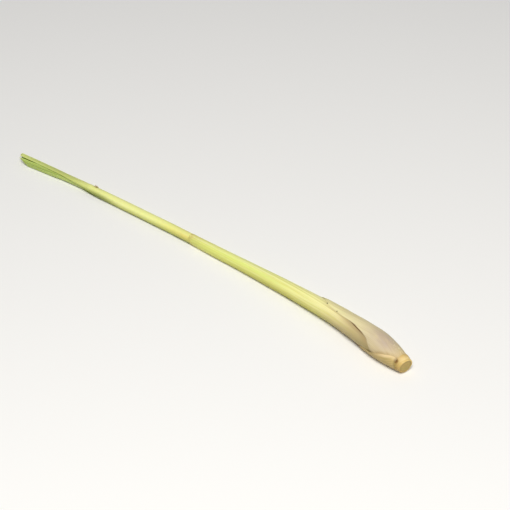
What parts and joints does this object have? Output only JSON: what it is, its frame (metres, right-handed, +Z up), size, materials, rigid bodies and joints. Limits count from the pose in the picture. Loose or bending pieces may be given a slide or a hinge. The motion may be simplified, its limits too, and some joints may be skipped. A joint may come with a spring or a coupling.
{
  "type": "lemongrass stalk",
  "caption": "Trimmed lemongrass stalk lying on its side: a cut solid stem, a pale bulb of rolled sheaths, and slim folded green blades cut at the tips.",
  "frame": {"origin": "on the surface that the stalk lies on, under the middle of its footprint", "axes": "+X along the stalk towards its cut foot, +Z up from the surface"},
  "size_m": [0.3906, 0.0258, 0.0183],
  "materials": {
    "stem": "fresh cut stem, moist satin",
    "outer_sheath": "dry papery leaf sheath, matt",
    "main_sheath": "smooth leaf sheath, satin",
    "sheath_and_blade": "leaf sheath and blade, satin",
    "blade": "ribbed leaf blade, satin",
    "inner_blade": "ribbed leaf blade, satin"
  },
  "bodies": {
    "root": {"stem": "stem", "leaf_1_torn_sheath": "outer_sheath", "leaf_2_main_sheath": "main_sheath", "leaf_3_sheath_and_blade": "sheath_and_blade", "leaf_4_blade": "blade", "leaf_5_furled_blade": "inner_blade"}
  },
  "joints": []
}
